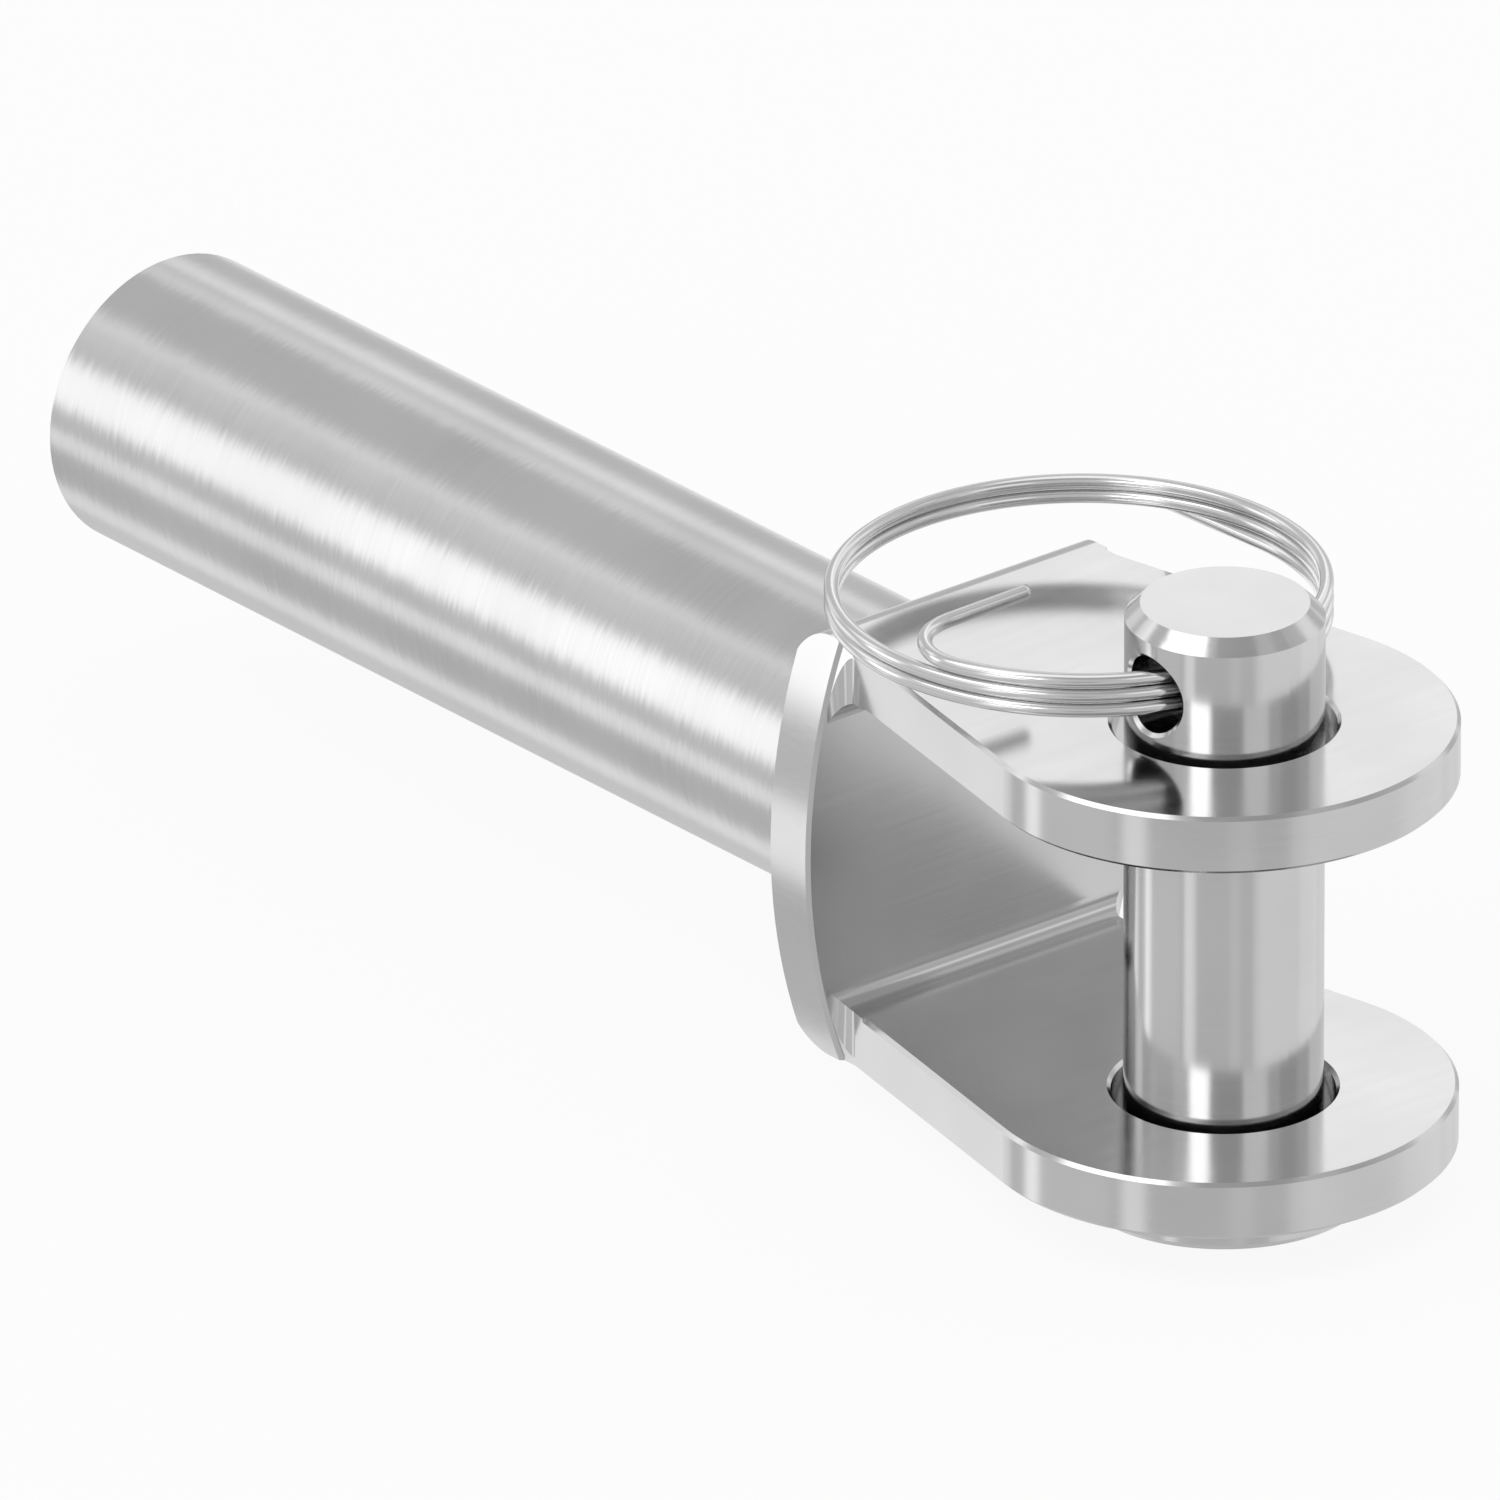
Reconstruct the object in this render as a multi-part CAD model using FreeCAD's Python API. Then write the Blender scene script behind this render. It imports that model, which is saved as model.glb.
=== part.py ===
import FreeCAD, Part

import math
import os

# Tension rod clevis: a round sleeve, tapped at its far end for a tension rod, with a one-piece
# fork on its near end. A headed clevis pin crosses the fork's two ears, and a wound split ring
# through the pin's cross hole keeps it there.
#
# Frame: the origin is on the pin's axis, midway between the ears. +Z runs along the pin away
# from its head, +X points out of the fork's mouth, and the sleeve runs towards -X.
# Lengths are in millimetres and angles in degrees.

Vector = FreeCAD.Vector
X_AXIS = Vector(1, 0, 0)
Y_AXIS = Vector(0, 1, 0)
Z_AXIS = Vector(0, 0, 1)

# Fork
jaw_gap = 22.0             # clear height between the ears
ear_thickness = 4.0
plate_thickness = 4.0      # the web that joins the ears, across the sleeve's end
jaw_depth = 25.0           # pin axis to the web's inner face
nose_reach = 15.0          # pin axis to the front of the ears
nose_radius = 15.7         # the ears' round front, also half of their greatest width
ear_taper = 11.6           # each side of an ear runs in by this angle towards the web
web_half_width = 14.15     # at mid height, between two bowed sides
web_side_radius = 40.5     # radius of a bowed side
inner_corner_radius = 1.5  # between the web and an ear's inner face
outer_corner_radius = 2.8  # on the outside of the same corner
side_corner_radius = 1.2   # where an ear's side runs into the web
pin_hole_clearance = 0.8   # radial room round the pin in each ear
edge_break = 0.25          # narrow chamfer on the rims of the ears, their holes and the web

# Clevis pin
pin_diameter = 13.0
head_diameter = 20.0
head_thickness = 3.3
head_edge_break = 0.5
pin_end_past_ear = 8.35    # from the upper ear's outer face to the pin's end
pin_end_chamfer = 1.0
cross_hole_diameter = 5.2
cross_hole_past_ear = 3.6  # from the upper ear's outer face to the cross hole's axis
cross_hole_mouth = 0.25     # countersink where the cross hole leaves the pin

# Split ring
wire_diameter = 1.0
coil_radius = 16.0         # to the middle of the wire
coil_gap = 0.04            # between one turn and the next
coil_above_cross_hole = 0.2  # how far the middle turn lies above the cross hole's axis
hook_bend_radius = 4.2     # the upper end is bent inwards
hook_tip_offset = 4.3      # from the middle of the coil to the tip of the bent end
tail_start_angle = 93.0    # the lower end leaves the coil here and runs straight on
tail_length = 8.5
hook_bend_arcs = 2         # arcs that make up the hook's bend
coil_arcs = 14             # arcs that make up the coil
wire_sides = 12            # narrow facets that stand in for the wire's round section

# Sleeve
sleeve_diameter = 20.0
sleeve_length = 79.0
sleeve_edge_break = 0.3
thread_core_diameter = 10.2  # tapping drill of a 12 mm coarse thread
thread_major_diameter = 12.0
thread_depth = 40.0
drill_tip_angle = 118.0

# Levels and places that follow from the sizes above
ear_inner_z = jaw_gap / 2
ear_outer_z = ear_inner_z + ear_thickness
web_inner_x = -jaw_depth
web_outer_x = web_inner_x - plate_thickness
nose_centre_x = nose_reach - nose_radius
bend_end_x = web_inner_x + max(inner_corner_radius, 2 * side_corner_radius)
pin_radius = pin_diameter / 2
pin_end_z = ear_outer_z + pin_end_past_ear
cross_hole_z = ear_outer_z + cross_hole_past_ear
ring_z = cross_hole_z + coil_above_cross_hole
coil_pitch = wire_diameter + coil_gap
wire_slope = coil_pitch / (2 * math.pi * coil_radius)
coil_centre_x = -math.sqrt(coil_radius ** 2 - pin_radius ** 2)
beyond = 5.0               # how far a cutting tool runs past what it cuts
touch = 0.01               # what lies this near a plane counts as lying on it


def polar(centre, radius, angle):
    """The point level with centre that lies at that angle and radius from it."""
    turn = math.radians(angle)
    return centre + Vector(radius * math.cos(turn), radius * math.sin(turn), 0)


def level_arc(centre, radius, first, last):
    """An arc about centre, level with it, from one angle to another."""
    ends = [polar(centre, radius, first), polar(centre, radius, last)]
    middle = polar(centre, radius, (first + last) / 2)
    return Part.Arc(ends[0], middle, ends[1]).toShape()


def line(first, last):
    return Part.LineSegment(first, last).toShape()


def block(low, high):
    size = high - low
    return Part.makeBox(size.x, size.y, size.z, low)


def prism(edges, direction):
    """A closed outline, drawn out along direction."""
    return Part.Face(Part.Wire(edges)).extrude(direction)


def closed_outline(points):
    """Straight edges from each point to the next, and back to the first."""
    return [line(a, b) for a, b in zip(points, points[1:] + points[:1])]


def cross_edges_at(shape, x):
    """The edges of shape that lie in the plane of that x and run along Y or round."""
    return [e for e in shape.Edges if abs(e.BoundBox.Center.x - x) < touch and e.BoundBox.YLength > touch]


def channel():
    """The fork's U section, wider than the fork itself."""
    wide = nose_radius + beyond
    front = nose_reach + beyond
    outer = block(Vector(web_outer_x, -wide, -ear_outer_z), Vector(front, wide, ear_outer_z))
    outer = outer.makeFillet(outer_corner_radius, cross_edges_at(outer, web_outer_x))
    room_end = front + beyond
    room_side = wide + beyond
    inner = block(Vector(web_inner_x, -room_side, -ear_inner_z), Vector(room_end, room_side, ear_inner_z))
    inner = inner.makeFillet(inner_corner_radius, cross_edges_at(inner, web_inner_x))
    return outer.cut(inner)


def ear_half_width(x):
    """Half of an ear's width at x, on its straight tapered side."""
    taper = math.radians(ear_taper)
    return (nose_radius + (x - nose_centre_x) * math.sin(taper)) / math.cos(taper)


def ear_blank(low_z, high_z):
    """The ears' outline drawn out along Z, with both of its rims broken.

    It has a round nose and two sides that run in towards the web, and its square back end
    lies beyond the web.
    """
    nose_centre = Vector(nose_centre_x, 0, low_z)
    tangent = 90 + ear_taper
    nose_ends = [polar(nose_centre, nose_radius, -tangent), polar(nose_centre, nose_radius, tangent)]
    back_x = web_outer_x - beyond
    back = [Vector(back_x, side * ear_half_width(back_x), low_z) for side in (-1, 1)]
    edges = [
        line(back[0], nose_ends[0]),
        level_arc(nose_centre, nose_radius, -tangent, tangent),
        line(nose_ends[1], back[1]),
        line(back[1], back[0]),
    ]
    blank = prism(edges, Vector(0, 0, high_z - low_z))
    rims = [e for e in blank.Edges if e.BoundBox.ZLength < touch and e.BoundBox.XLength > touch]
    return blank.makeChamfer(edge_break, rims)


def make_ear():
    """The upper ear from the bend to its nose, with the pin's hole bored through it."""
    ear = ear_blank(ear_inner_z, ear_outer_z)
    bore_radius = pin_radius + pin_hole_clearance
    bore = Part.makeCylinder(bore_radius, ear_thickness, Vector(0, 0, ear_inner_z), Z_AXIS)
    ear = ear.cut(bore)
    level_edges = [e for e in ear.Edges if e.BoundBox.ZLength < touch]
    hole_rims = [e for e in level_edges if abs(e.BoundBox.XLength - 2 * bore_radius) < touch]
    ear = ear.makeChamfer(edge_break, hole_rims)
    wide = nose_radius + beyond
    ahead = block(Vector(bend_end_x, -wide, 0), Vector(nose_reach + beyond, wide, ear_outer_z + beyond))
    return ear.common(ahead)


def side_corner(side):
    """The concave corner between one side of the ears and the web, as a bar along Z."""
    taper = math.radians(ear_taper)
    centre_x = web_inner_x + side_corner_radius
    centre_y = ear_half_width(centre_x) + side_corner_radius / math.cos(taper)
    touch_side = Vector(
        centre_x + side_corner_radius * math.sin(taper),
        centre_y - side_corner_radius * math.cos(taper),
        0,
    )
    centre = Vector(centre_x, centre_y, 0)
    touch_web = Vector(web_inner_x, centre_y, 0)
    foot = Vector(web_inner_x, 0, 0)
    top = Vector(touch_side.x, 0, 0)
    middle = polar(centre, side_corner_radius, 180 + (90 + ear_taper) / 2)
    edges = [
        line(foot, touch_web),
        Part.Arc(touch_web, middle, touch_side).toShape(),
        line(touch_side, top),
        line(top, foot),
    ]
    bar = prism(edges, Vector(0, 0, 2 * ear_outer_z)).translated(Vector(0, 0, -ear_outer_z))
    if side < 0:
        bar = bar.mirror(Vector(0, 0, 0), Y_AXIS)
    return bar


def web_blank(start_x, end_x, inset):
    """The web seen along X, drawn out along it: two bowed sides, and flat ends past the ears."""
    reach = ear_outer_z + beyond
    half_width = web_half_width - inset
    radius = web_side_radius - inset
    end_y = half_width - radius + math.sqrt(radius ** 2 - reach ** 2)
    low = [Vector(start_x, side * end_y, -reach) for side in (-1, 1)]
    high = [Vector(start_x, side * end_y, reach) for side in (-1, 1)]
    edges = [
        Part.Arc(low[1], Vector(start_x, half_width, 0), high[1]).toShape(),
        line(high[1], high[0]),
        Part.Arc(high[0], Vector(start_x, -half_width, 0), low[0]).toShape(),
        line(low[0], low[1]),
    ]
    return prism(edges, Vector(end_x - start_x, 0, 0))


def make_bend():
    """The web with bowed sides, and the bend on each side of it up to where the ears start."""
    web = web_blank(web_outer_x, web_inner_x, 0)
    bowed_rims = [e for e in web.Edges if e.BoundBox.XLength < touch and e.BoundBox.ZLength > touch]
    web = web.makeChamfer(edge_break, bowed_rims)
    corners = side_corner(1).fuse(side_corner(-1))
    corners = corners.common(web_blank(web_inner_x, bend_end_x, edge_break))
    wide = nose_radius + beyond
    ahead_of_web = block(Vector(web_inner_x, -wide, -ear_outer_z), Vector(bend_end_x, wide, ear_outer_z))
    roots = ear_blank(-ear_outer_z, ear_outer_z).common(ahead_of_web)
    return channel().common(web.fuse([corners, roots]))


def make_fork():
    """One solid: the bend with its web, and two ears that are mirror images of each other."""
    upper = make_ear()
    lower = upper.mirror(Vector(0, 0, 0), Z_AXIS)
    return make_bend().fuse([upper, lower]).removeSplitter().Solids[0]


def make_sleeve():
    """A round bar that butts on the web, with a blind tapped hole in its far end."""
    far_x = web_outer_x - sleeve_length
    bar = Part.makeCylinder(sleeve_diameter / 2, sleeve_length, Vector(far_x, 0, 0), X_AXIS)
    bar = bar.makeChamfer(sleeve_edge_break, cross_edges_at(bar, far_x))
    core_radius = thread_core_diameter / 2
    mouth_radius = thread_major_diameter / 2
    mouth_depth = mouth_radius - core_radius
    tip_depth = core_radius / math.tan(math.radians(drill_tip_angle / 2))
    bottom_x = far_x + mouth_depth + thread_depth
    profile = [
        Vector(far_x, 0, 0),
        Vector(far_x, mouth_radius, 0),
        Vector(far_x + mouth_depth, core_radius, 0),
        Vector(bottom_x, core_radius, 0),
        Vector(bottom_x + tip_depth, 0, 0),
    ]
    hole = Part.Face(Part.Wire(closed_outline(profile))).revolve(Vector(0, 0, 0), X_AXIS, 360)
    return bar.cut(hole).Solids[0]


def make_pin():
    """A headed pin with a chamfered end and a cross hole for the ring."""
    head_radius = head_diameter / 2
    head_top = -ear_outer_z
    head_bottom = head_top - head_thickness
    profile = [
        Vector(0, 0, head_bottom),
        Vector(head_radius - head_edge_break, 0, head_bottom),
        Vector(head_radius, 0, head_bottom + head_edge_break),
        Vector(head_radius, 0, head_top),
        Vector(pin_radius, 0, head_top),
        Vector(pin_radius, 0, pin_end_z - pin_end_chamfer),
        Vector(pin_radius - pin_end_chamfer, 0, pin_end_z),
        Vector(0, 0, pin_end_z),
    ]
    pin = Part.Face(Part.Wire(closed_outline(profile))).revolve(Vector(0, 0, 0), Z_AXIS, 360)
    hole_start = Vector(0, -pin_diameter, cross_hole_z)
    hole = Part.makeCylinder(cross_hole_diameter / 2, 2 * pin_diameter, hole_start, Y_AXIS)
    pin = pin.cut(hole)
    mouths = [
        e
        for e in pin.Edges
        if abs(e.BoundBox.ZLength - cross_hole_diameter) < touch
        and abs(e.BoundBox.XLength - cross_hole_diameter) < touch
    ]
    return pin.makeChamfer(cross_hole_mouth, mouths).Solids[0]


def wire_run(start, angle, length):
    """A straight run of the ring's wire that sinks at the wire's slope, and its far end."""
    end = polar(start, length, angle) - Vector(0, 0, wire_slope * length)
    return [line(start, end)], end


def wire_bend(start, radius, first, last, pieces):
    """Equal arcs that turn the wire left about an upright axis while it sinks, and their far end.

    Each arc lies in a plane of its own, tilted so that it is tangent to the next one and to a
    straight run. first and last are the angles at which the axis sees the two ends.
    """
    step = math.radians(last - first) / pieces
    drop = 2 * radius * math.tan(step / 2) * wire_slope
    flat_half = radius * math.sin(step / 2)
    half_chord = math.hypot(flat_half, drop / 2)
    along_chord = flat_half * math.cos(step / 2) + wire_slope * drop / 2
    lean = math.acos(along_chord / (half_chord * math.hypot(1, wire_slope)))
    middle_radius = radius * math.cos(step / 2) + half_chord * math.tan(lean / 2)
    centre = polar(start, -radius, first)

    def at(share, reach):
        angle = first + (last - first) * share / pieces
        return polar(centre, reach, angle) - Vector(0, 0, drop * share)

    arcs = [
        Part.Arc(at(i, radius), at(i + 0.5, middle_radius), at(i + 1, radius)).toShape()
        for i in range(pieces)
    ]
    return arcs, at(pieces, radius)


def make_ring():
    """Spring wire wound into a close coil of two turns and a third pass through the cross hole.

    The upper end is a hook whose straight leg points at the coil's middle. The lower end is a
    straight tail that leaves the coil along its tangent, under the turn above.
    """
    hook_reach = coil_radius - hook_bend_radius
    hook_bend_y = -math.sqrt(hook_reach ** 2 - hook_bend_radius ** 2)
    coil_start = math.degrees(math.atan2(hook_bend_y, hook_bend_radius))
    leg_length = -hook_bend_y - hook_tip_offset
    hook_bend_length = hook_bend_radius * math.radians(180 + coil_start)
    to_first_pass = leg_length + hook_bend_length + coil_radius * math.radians(-coil_start)
    tip_z = ring_z + coil_pitch + wire_slope * to_first_pass
    tip = Vector(coil_centre_x, -hook_tip_offset, tip_z)

    leg, at_bend = wire_run(tip, -90, leg_length)
    hook, at_coil = wire_bend(at_bend, hook_bend_radius, 180, 360 + coil_start, hook_bend_arcs)
    coil, at_tail = wire_bend(at_coil, coil_radius, coil_start, 720 + tail_start_angle, coil_arcs)
    tail, at_end = wire_run(at_tail, tail_start_angle + 90, tail_length)
    path = Part.Wire(leg + hook + coil + tail)
    corners = [
        tip + Vector(math.cos(turn), 0, math.sin(turn)) * (wire_diameter / 2)
        for turn in (2 * math.pi * (i + 0.5) / wire_sides for i in range(wire_sides))
    ]
    return path.makePipe(Part.Face(Part.Wire(closed_outline(corners)))).Solids[0]


parts = {
    "fork": make_fork(),
    "rod_sleeve": make_sleeve(),
    "clevis_pin": make_pin(),
    "split_ring": make_ring(),
}

os.makedirs("parts", exist_ok=True)
for name, solid in parts.items():
    solid.exportStep("parts/" + name + ".step")
    state = "valid" if solid.isValid() else "NOT VALID"
    print(name, state, len(solid.Faces), "faces", round(solid.Volume, 1), "mm3")
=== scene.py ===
import math

import bmesh
import bpy
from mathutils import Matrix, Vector


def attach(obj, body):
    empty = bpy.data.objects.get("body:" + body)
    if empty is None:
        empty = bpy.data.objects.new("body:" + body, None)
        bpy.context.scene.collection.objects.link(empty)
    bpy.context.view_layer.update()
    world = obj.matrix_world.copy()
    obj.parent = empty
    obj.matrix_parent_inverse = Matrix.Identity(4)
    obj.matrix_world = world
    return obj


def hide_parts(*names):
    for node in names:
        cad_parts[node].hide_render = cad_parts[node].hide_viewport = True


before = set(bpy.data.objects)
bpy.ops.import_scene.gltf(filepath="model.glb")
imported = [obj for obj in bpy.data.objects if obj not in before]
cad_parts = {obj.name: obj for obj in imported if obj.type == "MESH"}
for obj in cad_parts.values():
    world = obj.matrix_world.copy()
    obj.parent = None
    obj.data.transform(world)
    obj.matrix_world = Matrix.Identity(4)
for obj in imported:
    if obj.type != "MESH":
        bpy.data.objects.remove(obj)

# Tension rod clevis in bright steel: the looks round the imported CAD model.
# Lengths are in metres and angles in degrees. +Z runs along the pin, +X out of the fork's mouth.

scene = bpy.context.scene
scene.view_settings.view_transform = "Standard"
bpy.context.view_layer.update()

# Small helpers.


def unit(angle):
    """The level direction that lies at that angle from +X."""
    turn = math.radians(angle)
    return Vector((math.cos(turn), math.sin(turn), 0))


def new_piece(name, mesh, material):
    """An object in the scene with that mesh, in one material."""
    piece = bpy.data.objects.new(name, mesh)
    scene.collection.objects.link(piece)
    mesh.materials.append(material)
    return piece


def mesh_from(name, points, faces):
    """A mesh of those points. A face lists the points at its corners by their number."""
    mesh = bpy.data.meshes.new(name)
    mesh.from_pydata([tuple(p) for p in points], [], faces)
    mesh.validate()
    mesh.update()
    return mesh


def tube_mesh(name, points, sides):
    """A closed smooth tube. points holds its rings, of sides points each, then the two tips."""
    ring_count = (len(points) - 2) // sides
    faces = []
    for j in range(ring_count - 1):
        a = j * sides
        b = a + sides
        for k in range(sides):
            n = (k + 1) % sides
            faces.append((a + k, a + n, b + n, b + k))
    last = (ring_count - 1) * sides
    tip = ring_count * sides
    for k in range(sides):
        n = (k + 1) % sides
        faces.append((tip, n, k))
        faces.append((tip + 1, last + k, last + n))
    mesh = mesh_from(name, points, faces)
    for polygon in mesh.polygons:
        polygon.use_smooth = True
    return mesh


class Nodes:
    """Adds shader nodes to a node tree. An input is a number, a tuple or another node's output."""

    def __init__(self, tree):
        self.tree = tree

    def add(self, kind, inputs=(), **settings):
        node = self.tree.nodes.new(kind)
        for name, value in settings.items():
            setattr(node, name, value)
        for key, value in dict(inputs).items():
            self.feed(node.inputs[key], value)
        return node

    def feed(self, socket, value):
        if isinstance(value, bpy.types.NodeSocket):
            self.tree.links.new(value, socket)
        else:
            socket.default_value = value

    def math(self, operation, *values):
        inputs = dict(enumerate(values))
        return self.add("ShaderNodeMath", inputs, operation=operation).outputs[0]

    def vector(self, operation, *values):
        inputs = dict(enumerate(values))
        return self.add("ShaderNodeVectorMath", inputs, operation=operation).outputs[0]

    def noise(self, vector, scale=1.0, detail=2.0, roughness=0.5):
        inputs = {"Vector": vector, "Scale": scale, "Detail": detail, "Roughness": roughness}
        return self.add("ShaderNodeTexNoise", inputs).outputs["Fac"]

    def remap(self, value, low, high, to_low, to_high):
        inputs = {0: value, 1: low, 2: high, 3: to_low, 4: to_high}
        return self.add("ShaderNodeMapRange", inputs).outputs[0]

    def ramp(self, value, stops):
        """Eases from one stop's level to the next. Places and levels run from 0 to 1."""
        node = self.add("ShaderNodeValToRGB", {"Fac": value})
        node.color_ramp.interpolation = "EASE"
        elements = node.color_ramp.elements
        elements.remove(elements[1])
        elements[0].position = stops[0][0]
        for place, level in stops[1:]:
            elements.new(place)
        for element, (place, level) in zip(elements, stops):
            element.color = (level, level, level, 1)
        return node.outputs["Color"]

    def mix_color(self, factor, first, second):
        inputs = {"Factor": factor, 6: first, 7: second}
        return self.add("ShaderNodeMix", inputs, data_type="RGBA").outputs[2]


# Materials.

shade = 0.9
streak_share = 0.35
cloud_scale = 90.0
wave_scale = 45.0
tone_span = (0.3, 0.7)
dull_span = (0.25, 0.75)
lean_span = (0.2, 0.8)
front_span = (0.95, 0.999)


def steel(
    name, bright, roughness, spread, grain_scale, grain_depth, wave_depth,
    lay=None, lay_scale=None, tilt=0, dull_front=0,
):
    """Bare stainless steel.

    bright is the grey of its cleanest places. roughness is the middle of its range and spread
    half of it. grain_scale is how fine the grain is along each axis, coarse along its lines.
    grain_depth and wave_depth are the heights in metres of those lines and of the faint waviness
    under them. Where lay is an axis, streaks round it, as fine as lay_scale, lean the surface to
    and fro along it by tilt at most. Faces square to +X are rougher by dull_front.
    """
    shaded = bright * shade
    bright_steel = (bright, bright, bright, 1)
    shaded_steel = (shaded, shaded, shaded, 1)
    material = bpy.data.materials.new(name)
    material.use_nodes = True
    tree = material.node_tree
    tree.nodes.clear()
    nodes = Nodes(tree)
    place = nodes.add("ShaderNodeTexCoord").outputs["Object"]

    grain_place = nodes.vector("MULTIPLY", place, grain_scale)
    grain = nodes.noise(grain_place, detail=3.0, roughness=0.6)
    clouds = nodes.noise(place, cloud_scale)
    waves = nodes.noise(place, wave_scale, detail=1.0)

    cloudy = nodes.remap(clouds, *tone_span, 0, 1)
    streaky = nodes.remap(grain, *tone_span, 0, streak_share)
    color = nodes.mix_color(cloudy, shaded_steel, bright_steel)
    color = nodes.mix_color(streaky, color, bright_steel)
    dull = nodes.remap(grain, *dull_span, roughness - spread, roughness + spread)
    if dull_front:
        facing = nodes.add("ShaderNodeTexCoord").outputs["Normal"]
        facing = nodes.add("ShaderNodeSeparateXYZ", {0: facing}).outputs[0]
        extra = nodes.remap(facing, *front_span, 0, dull_front)
        dull = nodes.math("ADD", dull, extra)

    wave_inputs = {"Height": waves, "Strength": 1.0, "Distance": wave_depth}
    if lay:
        normal = nodes.add("ShaderNodeNewGeometry").outputs["Normal"]
        around = nodes.vector("CROSS_PRODUCT", lay, normal)
        lean = nodes.noise(nodes.vector("MULTIPLY", place, lay_scale))
        lean = nodes.remap(lean, *lean_span, -tilt, tilt)
        lean = nodes.add("ShaderNodeCombineXYZ", {0: lean, 1: lean, 2: lean}).outputs[0]
        leaned = nodes.vector("ADD", normal, nodes.vector("MULTIPLY", around, lean))
        wave_inputs["Normal"] = nodes.vector("NORMALIZE", leaned)
    wave = nodes.add("ShaderNodeBump", wave_inputs)
    lines = {"Height": grain, "Strength": 1.0, "Distance": grain_depth, "Normal": wave.outputs[0]}
    bump = nodes.add("ShaderNodeBump", lines)
    shader = nodes.add("ShaderNodeBsdfPrincipled", {
        "Base Color": color,
        "Metallic": 1.0,
        "Roughness": dull,
        "Normal": bump.outputs[0],
    })
    output = nodes.add("ShaderNodeOutputMaterial")
    tree.links.new(shader.outputs[0], output.inputs["Surface"])
    return material


sleeve_material = steel(
    "turned_sleeve_steel",
    bright=0.665,
    roughness=0.22,
    spread=0.03,
    grain_scale=(5200, 60, 60),
    grain_depth=1.2e-6,
    wave_depth=1e-5,
    lay=(1, 0, 0),
    lay_scale=(3800, 200, 200),
    tilt=0.025,
)
fork_material = steel(
    "polished_fork_steel",
    bright=0.665,
    roughness=0.15,
    spread=0.02,
    grain_scale=(900, 60, 3000),
    grain_depth=4e-7,
    wave_depth=1e-5,
    dull_front=0.09,
)
pin_material = steel(
    "polished_pin_steel",
    bright=0.665,
    roughness=0.15,
    spread=0.02,
    grain_scale=(90, 90, 5200),
    grain_depth=6e-7,
    wave_depth=5e-6,
    lay=(0, 0, 1),
    lay_scale=(1500, 1500, 30),
    tilt=0.02,
)
ring_material = steel(
    "drawn_ring_steel",
    bright=0.78,
    roughness=0.16,
    spread=0.03,
    grain_scale=(900, 900, 5200),
    grain_depth=6e-7,
    wave_depth=2e-6,
)

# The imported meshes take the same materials.
for node, material in (
    ("fork", fork_material),
    ("rod_sleeve", sleeve_material),
    ("clevis_pin", pin_material),
    ("split_ring", ring_material),
):
    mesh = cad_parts[node].data
    for index in range(len(mesh.materials)):
        mesh.materials[index] = material

# Split ring.

wire_radius = 0.00049
wire_step = 0.0004
wire_sides = 24
coil_radius = 0.016
coil_pitch = 0.00104
pin_radius = 0.0065
coil_centre = Vector((-math.sqrt(coil_radius ** 2 - pin_radius ** 2), 0, 0))
middle_turn_z = 0.0188
hook_radius = 0.0042
hook_tip_offset = 0.0043
tail_start = 93.0
tail_length = 0.0085
wire_slope = coil_pitch / (2 * math.pi * coil_radius)
dome_height = wire_radius * 0.2
dome_steps = (0.35, 0.7, 0.9, 1.0)


def ring_path():
    """Points along the middle of the ring's wire, from the hook to the tail.

    It is drawn flat first, as straight runs and bends. Then it falls evenly all the way.
    """
    hook_reach = coil_radius - hook_radius
    hook_bend_y = -math.sqrt(hook_reach ** 2 - hook_radius ** 2)
    coil_start = math.degrees(math.atan2(hook_bend_y, hook_radius))
    points = [coil_centre + Vector((0, -hook_tip_offset, 0))]

    def run(angle, length):
        start = points[-1]
        count = max(2, round(length / wire_step))
        points.extend(start + unit(angle) * length * i / count for i in range(1, count + 1))

    def bend(radius, first, last):
        centre = points[-1] - unit(first) * radius
        count = max(2, round(radius * math.radians(last - first) / wire_step))
        turns = (first + (last - first) * i / count for i in range(1, count + 1))
        points.extend(centre + unit(turn) * radius for turn in turns)

    leg_length = -hook_bend_y - hook_tip_offset
    run(-90, leg_length)
    bend(hook_radius, 180, 360 + coil_start)
    bend(coil_radius, coil_start, 720 + tail_start)
    run(tail_start + 90, tail_length)

    hook_length = hook_radius * math.radians(180 + coil_start)
    to_first_pass = leg_length + hook_length + coil_radius * math.radians(-coil_start)
    height = middle_turn_z + coil_pitch + wire_slope * to_first_pass
    before = points[0]
    for point in points:
        height -= wire_slope * math.hypot(point.x - before.x, point.y - before.y)
        before = point.copy()
        point.z = height
    return points


def wire_mesh(name, path):
    """The round wire along path, with both of its cut ends slightly domed."""
    points = []
    up = Vector((0, 0, 1))
    last = len(path) - 1
    frames = []
    for i, point in enumerate(path):
        along = (path[min(i + 1, last)] - path[max(i - 1, 0)]).normalized()
        rise = (up - along * along.dot(up)).normalized()
        frames.append((point, along, rise, along.cross(rise)))

    start, finish = frames[0], frames[-1]
    rings = [(start, share, dome_height * share ** 2) for share in dome_steps]
    rings += [(at, 1.0, 0) for at in frames[1:-1]]
    rings += [(finish, share, -dome_height * share ** 2) for share in reversed(dome_steps)]
    for (point, along, rise, side), share, shift in rings:
        middle = point + along * shift
        for k in range(wire_sides):
            turn = 2 * math.pi * k / wire_sides
            outward = rise * math.cos(turn) + side * math.sin(turn)
            points.append(middle + outward * (wire_radius * share))
    points.append(start[0])
    points.append(finish[0])
    return tube_mesh(name, points, wire_sides)


ring = new_piece("ring_wire", wire_mesh("ring_wire", ring_path()), ring_material)
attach(ring, "ring")
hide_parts("split_ring")

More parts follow.
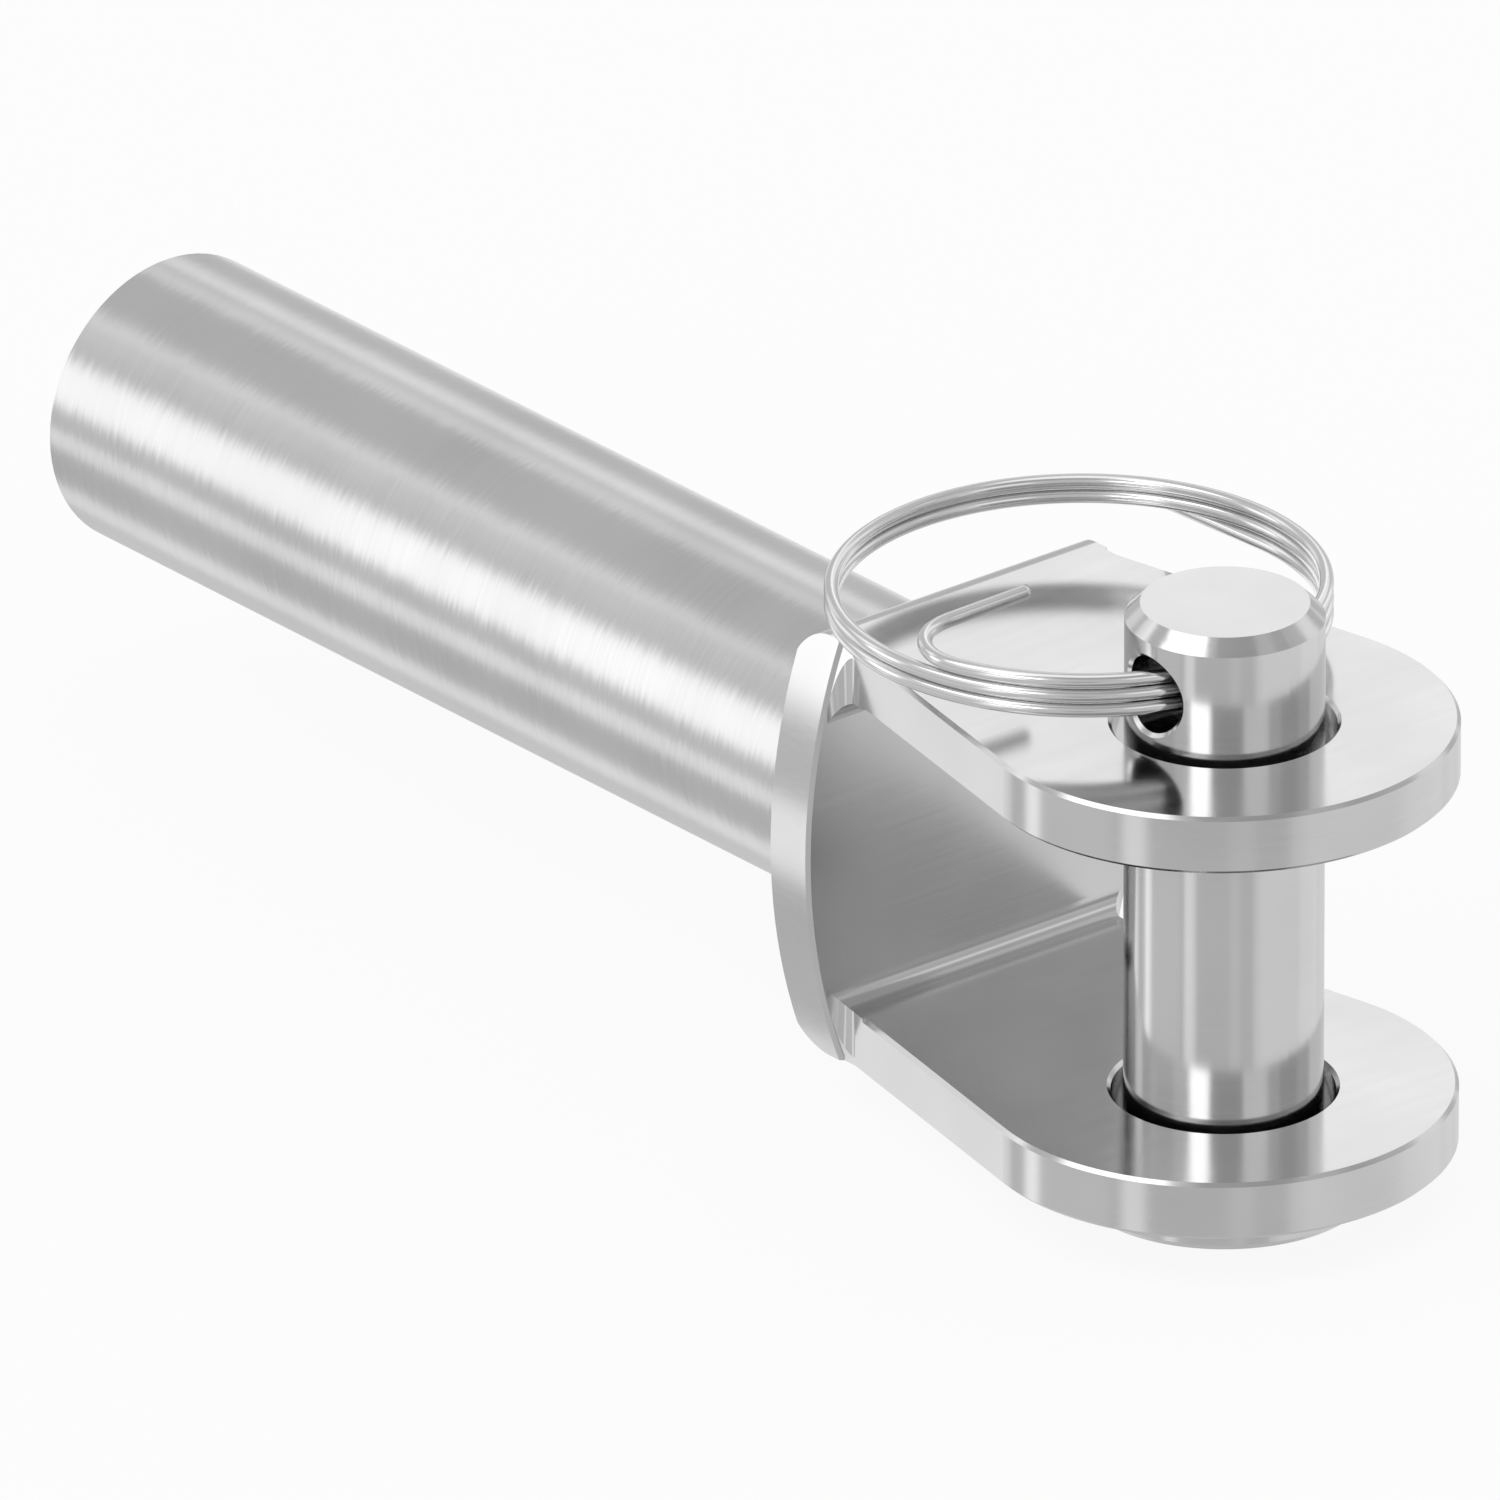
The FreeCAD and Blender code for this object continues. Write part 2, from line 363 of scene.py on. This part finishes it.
# Sleeve with its thread.

sleeve_far_x = -0.108
sleeve_near_x = -0.029
sleeve_radius = 0.010
sleeve_break = 0.0003
core_radius = 0.0051
major_radius = 0.006
thread_pitch = 0.00175
thread_depth = 0.040
drill_half_angle = 59
drill_tip = core_radius / math.tan(math.radians(drill_half_angle))
mouth_depth = major_radius - core_radius
bottom_x = sleeve_far_x + mouth_depth + thread_depth
crest_share = 0.125
root_share = 0.125
groove_fill = 0.94
sleeve_sides = 72
rows_per_pitch = 14
sharp_angle = 30


def thread_radius(x, turn):
    """Radius of the tapped hole there: 60 degree grooves between narrow crests at the core.

    The grooves run out two pitches before the hole's bottom, and the mouth is countersunk.
    """
    along = ((x - sleeve_far_x) / thread_pitch - turn / (2 * math.pi)) % 1.0
    flank = abs(along - 0.5) * 2
    groove = (1 - crest_share - flank) / (1 - crest_share - root_share)
    groove = min(1.0, max(0.0, groove))
    run_out = bottom_x - 2 * thread_pitch
    fade = min(1.0, max(0.0, 1 - (x - run_out) / thread_pitch))
    tapped = core_radius + (major_radius - core_radius) * groove_fill * groove * fade
    mouth = major_radius - (x - sleeve_far_x)
    return max(tapped, mouth)


def sleeve_mesh(name):
    """The bar as rings of points: its outside towards -X, then back in through the tapped hole."""
    rows = [
        (sleeve_near_x, lambda turn: sleeve_radius),
        (sleeve_far_x + sleeve_break, lambda turn: sleeve_radius),
        (sleeve_far_x, lambda turn: sleeve_radius - sleeve_break),
    ]
    count = round((bottom_x - sleeve_far_x) / thread_pitch * rows_per_pitch)
    for i in range(count + 1):
        x = sleeve_far_x + (bottom_x - sleeve_far_x) * i / count
        rows.append((x, lambda turn, x=x: thread_radius(x, turn)))
    points = []
    for x, radius_at in rows:
        for k in range(sleeve_sides):
            turn = 2 * math.pi * k / sleeve_sides
            radius = radius_at(turn)
            points.append((x, radius * math.cos(turn), radius * math.sin(turn)))
    points.append((sleeve_near_x, 0, 0))
    points.append((bottom_x + drill_tip, 0, 0))
    mesh = tube_mesh(name, points, sleeve_sides)
    mesh.set_sharp_from_angle(angle=math.radians(sharp_angle))
    return mesh


sleeve = new_piece("tapped_sleeve", sleeve_mesh("tapped_sleeve"), sleeve_material)
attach(sleeve, "jaw")
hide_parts("rod_sleeve")

# Turn every face outwards.
for piece in (ring, sleeve):
    shell = bmesh.new()
    shell.from_mesh(piece.data)
    bmesh.ops.recalc_face_normals(shell, faces=shell.faces)
    shell.to_mesh(piece.data)
    shell.free()

# Floor and studio.

floor_z = -0.0184
floor_half = 3.0
floor_grey = 0.94
white_share = 0.9
floor_mesh = mesh_from("floor", [
    (-floor_half, -floor_half, floor_z),
    (floor_half, -floor_half, floor_z),
    (floor_half, floor_half, floor_z),
    (-floor_half, floor_half, floor_z),
], [(0, 1, 2, 3)])


def floor_look():
    """A pale matt floor, seen as plain white by white_share, so that its shadow is faint.

    From below it is clear, so that the underside of the object can be seen too.
    """
    material = bpy.data.materials.new("pale_floor")
    material.use_nodes = True
    tree = material.node_tree
    tree.nodes.clear()
    nodes = Nodes(tree)
    matt = nodes.add("ShaderNodeBsdfDiffuse", {
        "Color": (floor_grey, floor_grey, floor_grey, 1),
    })
    white = nodes.add("ShaderNodeEmission", {"Color": (1, 1, 1, 1), "Strength": 1.0})
    rays = nodes.add("ShaderNodeLightPath")
    seen = nodes.math("MAXIMUM", rays.outputs["Is Camera Ray"], rays.outputs["Is Glossy Ray"])
    seen = nodes.math("MAXIMUM", seen, rays.outputs["Is Transmission Ray"])
    share = nodes.math("MULTIPLY", seen, white_share)
    both = nodes.add("ShaderNodeMixShader", {0: share, 1: matt.outputs[0], 2: white.outputs[0]})
    below = nodes.add("ShaderNodeNewGeometry").outputs["Backfacing"]
    clear = nodes.add("ShaderNodeBsdfTransparent")
    sides = nodes.add("ShaderNodeMixShader", {0: below, 1: both.outputs[0], 2: clear.outputs[0]})
    output = nodes.add("ShaderNodeOutputMaterial")
    tree.links.new(sides.outputs[0], output.inputs["Surface"])
    return material


floor = new_piece("floor", floor_mesh, floor_look())
# Metal doesn't mirror the floor, so Is Glossy Ray in the floor's material does nothing for it.
floor.visible_glossy = False

surround = 0.63
darkest_change = -0.3
brightest_change = 2.4
edge = 5
# Bands of light boxes and dark flags round the object, on a plain grey surround. A band has the
# elevation of its middle, half its height and the softness of its rims. Then come its steps: from
# that azimuth on, counted from +X towards +Y, the level differs by so much from the surround. It
# eases over from one step to the next within edge degrees.
studio = (
    (56.5, 14.5, 7, (
        (-134, 1.30), (-74, 0), (-55, -0.20), (15, 0), (40, -0.12), (68, 0),
    )),
    (36.5, 5.5, 3.5, (
        (-166, 0.50), (-152, 0), (37, 0.35), (49, 0), (144, 0.38), (155, 0),
    )),
    (25, 7.5, 5, (
        (-167, 0.45), (-156, 0.58), (-148, 0.05), (-133, 0.20), (-99, 0.36), (-79, 2.30),
        (-56.5, 0), (-44, -0.06), (-18.5, 0.50), (12, 0.10), (28, -0.06), (54, 0.08),
        (75, 0.40), (107, 0.43), (138, 0),
    )),
    (25, 3, 3, (
        (134.5, 0.66), (145, 0),
    )),
    (7.3, 12.7, 8, (
        (-172, 0), (-145, 0.95), (-125, 0), (172, 0.30),
    )),
    (-2, 9, 6, (
        (-81, 0.80), (-63, 0), (-45, -0.22), (-31, 0), (0, 0.60), (16, 0), (30, -0.27), (42, 0),
        (55, -0.20), (69, 0), (86, 0.45), (110, 0),
    )),
    (-20, 12, 6, (
        (-157, 0), (-142, 0.08), (-92, 0), (-86, 0.36), (-74, 0), (-34, 0.07), (-22, 0),
        (-5, 0.17), (3, 0.24), (58, 0.32), (94, 0.24), (112, 0.16), (134, 0.38), (140, 0.30),
        (155, 0.46),
    )),
    (-23, 5, 3, (
        (-144, 0.60), (-134, 0),
    )),
    (-44, 7.5, 6, (
        (-165, 0), (123, 0.12), (175, 0.45),
    )),
    (90, 20, 8, (
        (0, 0.50),
    )),
)


def band_stops(steps):
    """Stops of a ramp all the way round, from azimuth -180 at 0 to 180 at 1.

    A stop's level runs from 0 at darkest_change to 1 at brightest_change.
    """
    stops = []
    before = steps[-1][1]
    for azimuth, change in steps:
        for place, value in ((azimuth - edge / 2, before), (azimuth + edge / 2, change)):
            share = (value - darkest_change) / (brightest_change - darkest_change)
            stops.append(((place + 180) / 360, share))
        before = change
    return stops


def height_stops(middle, half_height, soft):
    """Stops of a ramp from straight down at 0 to straight up at 1."""
    rims = (
        (middle - half_height - soft / 2, 0),
        (middle - half_height + soft / 2, 1),
        (middle + half_height - soft / 2, 1),
        (middle + half_height + soft / 2, 0),
    )
    return [((elevation + 90) / 180, level) for elevation, level in rims if elevation < 90]


def studio_world():
    """The studio by direction. The camera and what is seen through glass get plain white.

    Is Glossy Ray is left out, so metal mirrors the boxes and flags and not that plain white.
    """
    world = bpy.data.worlds.new("studio")
    world.use_nodes = True
    tree = world.node_tree
    tree.nodes.clear()
    nodes = Nodes(tree)
    towards = nodes.add("ShaderNodeTexCoord").outputs["Generated"]
    parts = nodes.add("ShaderNodeSeparateXYZ", {0: towards}).outputs
    round_about = nodes.math("ARCTAN2", parts[1], parts[0])
    round_about = nodes.math("MULTIPLY_ADD", round_about, 0.5 / math.pi, 0.5)
    up = nodes.math("MULTIPLY_ADD", nodes.math("ARCSINE", parts[2]), 1 / math.pi, 0.5)
    level = surround
    for middle, half_height, soft, steps in studio:
        change = nodes.ramp(round_about, band_stops(steps))
        change = nodes.math(
            "MULTIPLY_ADD", change, brightest_change - darkest_change, darkest_change,
        )
        share = nodes.ramp(up, height_stops(middle, half_height, soft))
        level = nodes.math("MULTIPLY_ADD", share, change, level)
    rays = nodes.add("ShaderNodeLightPath").outputs
    seen = nodes.math("MAXIMUM", rays["Is Camera Ray"], rays["Is Transmission Ray"])
    strength = nodes.add("ShaderNodeMix", {0: seen, 2: level, 3: 1.0}, data_type="FLOAT").outputs[0]
    background = nodes.add("ShaderNodeBackground", {"Color": (1, 1, 1, 1), "Strength": strength})
    output = nodes.add("ShaderNodeOutputWorld")
    tree.links.new(background.outputs[0], output.inputs["Surface"])
    return world


scene.world = studio_world()

# Camera. Azimuth 0 looks along +Y. The aim is counted from the origin along the camera's axes.

camera_azimuth = math.radians(50.23)
camera_elevation = math.radians(24.88)
lens = 1500.0
sensor = 36.0
frame_width = 0.0976
aim_right = -0.0306
aim_up = 0.01164
aim_back = -0.031

flat = math.cos(camera_elevation)
back = Vector((
    math.sin(camera_azimuth) * flat,
    -math.cos(camera_azimuth) * flat,
    math.sin(camera_elevation),
))
right = Vector((math.cos(camera_azimuth), math.sin(camera_azimuth), 0))
upward = back.cross(right)
aim = right * aim_right + upward * aim_up + back * aim_back

camera_data = bpy.data.cameras.new("camera")
camera_data.lens = lens
camera_data.sensor_width = sensor
camera_data.clip_start = 0.1
camera_data.clip_end = 20.0
camera = bpy.data.objects.new("camera", camera_data)
scene.collection.objects.link(camera)
camera.location = aim + back * (frame_width * lens / sensor)
camera.rotation_mode = "QUATERNION"
camera.rotation_quaternion = (-back).to_track_quat("-Z", "Y")
scene.camera = camera
